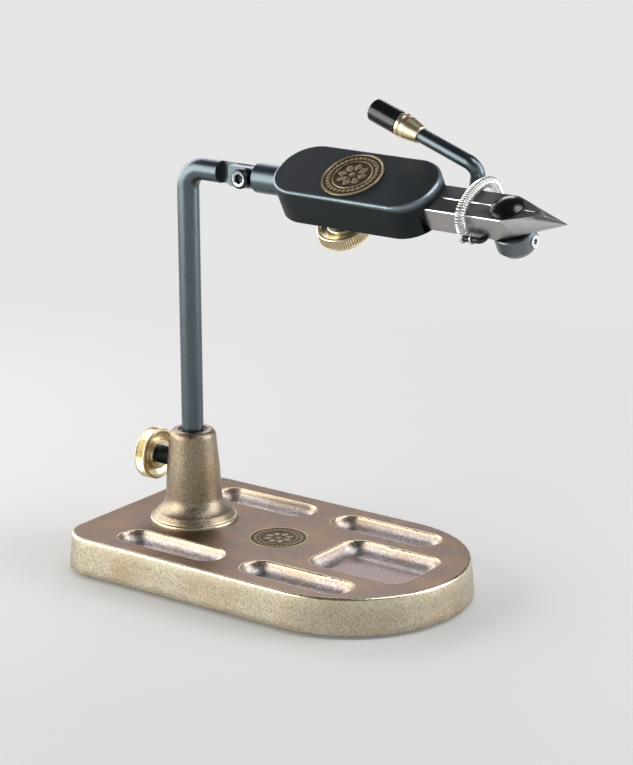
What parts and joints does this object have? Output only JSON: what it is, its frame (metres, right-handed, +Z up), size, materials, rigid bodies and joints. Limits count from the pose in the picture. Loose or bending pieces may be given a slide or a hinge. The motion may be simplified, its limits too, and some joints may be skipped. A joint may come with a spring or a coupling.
{
  "type": "fly tying vise",
  "caption": "Free-standing fly tying vise: pocketed bronze base, bent stem with clamp, tilting and rolling head, and cam-opened tapered jaws with a squeeze lever.",
  "frame": {"origin": "the stem's vertical axis where it meets the table, on the underside of the non-slip pad", "axes": "+X along the base towards the jaws, +Y to the lever's side, +Z up"},
  "size_m": [0.2238, 0.1044, 0.2106],
  "materials": {
    "cast_bronze": "satin sand-cast bronze with polished edges",
    "pad_rubber": "matte",
    "aged_bronze": "antique, dark in the recesses",
    "black_liner": "black oxide",
    "bright_steel": "bright",
    "black_screw": "black oxide",
    "turned_brass": "turned, knurled rim",
    "blued_steel": "blued, satin",
    "black_anodised": "matte black anodised",
    "spring_steel": "nickel-bright wire",
    "jaw_steel": "ground and brushed",
    "black_polished": "polished black",
    "hub_steel": "satin grey",
    "grip_plastic": "glossy black"
  },
  "bodies": {
    "base": {"base_casting": "cast_bronze", "base_pad": "pad_rubber", "base_medallion": "aged_bronze"},
    "clamp_pad": {"clamp_pad": "bright_steel"},
    "clamp_screw": {"clamp_stud": "black_screw", "clamp_knob": "turned_brass"},
    "bush": {"stem_bush": "black_liner"},
    "stem": {"stem": "blued_steel", "knuckle_washer": "bright_steel", "knuckle_screw": "black_screw"},
    "shank": {"head_shank": "blued_steel"},
    "head": {"head_housing": "black_anodised", "head_medallion": "aged_bronze", "jaw_pins": "bright_steel", "jaw_spring_left": "spring_steel", "jaw_spring_right": "spring_steel", "lock_bush": "turned_brass"},
    "lock_pad": {"lock_pad": "bright_steel"},
    "lock_screw": {"lock_stud": "black_screw", "lock_knob": "turned_brass"},
    "lever": {"cam": "black_polished", "cam_hub": "hub_steel", "hub_screw": "bright_steel", "lever_rod": "blued_steel", "lever_ferrule": "turned_brass", "lever_grip": "grip_plastic"},
    "jaw_left": {"jaw_left": "jaw_steel"},
    "jaw_right": {"jaw_right": "jaw_steel", "spring_bar": "black_screw", "spring_hooks": "spring_steel", "material_spring": "spring_steel"}
  },
  "joints": [
    {"name": "stem_swivel", "type": "hinge", "parent": "base", "child": "bush", "pos_m": [0, 0, 0.03], "axis": [0, 0, 1], "continuous": true},
    {"name": "stem_height", "type": "slide", "parent": "bush", "child": "stem", "axis": [0, 0, 1], "range_m": [-0.004, 0.028]},
    {"name": "head_tilt", "type": "hinge", "parent": "stem", "child": "shank", "pos_m": [0.0332, 0, 0.1744], "axis": [0, -1, 0], "range_deg": [-60, 60]},
    {"name": "head_roll", "type": "hinge", "parent": "shank", "child": "head", "pos_m": [0.07, 0, 0.1744], "axis": [1, 0, 0], "continuous": true},
    {"name": "lever_squeeze", "type": "hinge", "parent": "head", "child": "lever", "pos_m": [0.161, 0, 0.1744], "axis": [0, -0.4695, 0.8829], "range_deg": [0, 9], "stiffness_Nm_per_rad": 0.5, "springref_deg": -17.19},
    {"name": "jaw_left_open", "type": "hinge", "parent": "head", "child": "jaw_left", "pos_m": [0.104, 0.00353, 0.17628], "axis": [0, -0.4695, 0.8829], "range_deg": [0, 1.2], "deforming": ["jaw_spring_left"]},
    {"name": "jaw_right_open", "type": "hinge", "parent": "head", "child": "jaw_right", "pos_m": [0.104, -0.00353, 0.17252], "axis": [0, 0.4695, -0.8829], "range_deg": [0, 1.2], "deforming": ["jaw_spring_right"]},
    {"name": "clamp_pad_slide", "type": "slide", "parent": "base", "child": "clamp_pad", "axis": [-1, 0, 0], "range_m": [0, 0.0025]},
    {"name": "clamp_knob_turn", "type": "hinge", "parent": "clamp_pad", "child": "clamp_screw", "pos_m": [-0.0187, 0, 0.043], "axis": [-1, 0, 0], "range_deg": [0, 720]},
    {"name": "lock_pad_slide", "type": "slide", "parent": "head", "child": "lock_pad", "axis": [0, 0.4695, -0.8829], "range_m": [0, 0.0025]},
    {"name": "lock_knob_turn", "type": "hinge", "parent": "lock_pad", "child": "lock_screw", "pos_m": [0.0745, 0.00873, 0.15798], "axis": [0, 0.4695, -0.8829], "range_deg": [0, 720]}
  ],
  "couplings": [
    {"joint": "jaw_left_open", "follows": "lever_squeeze", "ratio": 0.12},
    {"joint": "jaw_right_open", "follows": "lever_squeeze", "ratio": 0.12},
    {"joint": "clamp_knob_turn", "follows": "clamp_pad_slide", "rad_per_m": 5026.5},
    {"joint": "lock_knob_turn", "follows": "lock_pad_slide", "rad_per_m": 5026.5}
  ]
}
